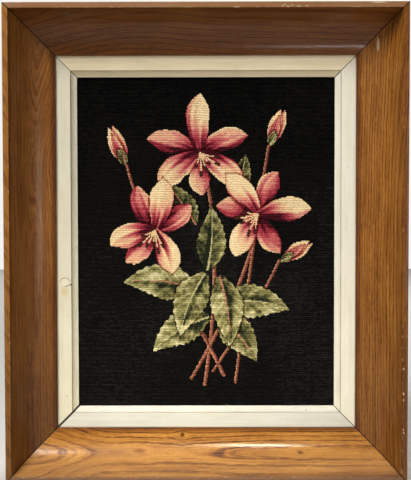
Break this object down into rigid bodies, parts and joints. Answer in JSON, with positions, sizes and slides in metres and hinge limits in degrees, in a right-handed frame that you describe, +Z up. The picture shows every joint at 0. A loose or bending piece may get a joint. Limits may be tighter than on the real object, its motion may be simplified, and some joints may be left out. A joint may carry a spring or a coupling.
{
  "type": "framed tapestry",
  "caption": "Upright framed wool tapestry: a ribbed woven panel behind a bevelled cream slip, in a deep scooped and mitred hardwood frame with a narrow flat rim.",
  "frame": {"origin": "middle of the bottom of the frame, on the surface it stands on", "axes": "+Z up along the frame's height; +Y from the front of the picture to its back, so the picture faces -Y; +X to the right as the picture is seen"},
  "size_m": [0.5, 0.068, 0.594],
  "materials": {
    "stained_wood": "brown stained open-grained hardwood under a satin lacquer",
    "cream_paint": "softwood under a thin cream eggshell paint",
    "woven_wool": "matt weft-faced wool tapestry, near-black ground with a spray of flowers and leaves"
  },
  "bodies": {
    "root": {"rail_bottom": "stained_wood", "rail_left": "stained_wood", "rail_top": "stained_wood", "rail_right": "stained_wood", "slip_bottom": "cream_paint", "slip_left": "cream_paint", "slip_top": "cream_paint", "slip_right": "cream_paint", "tapestry": "woven_wool"}
  },
  "joints": []
}
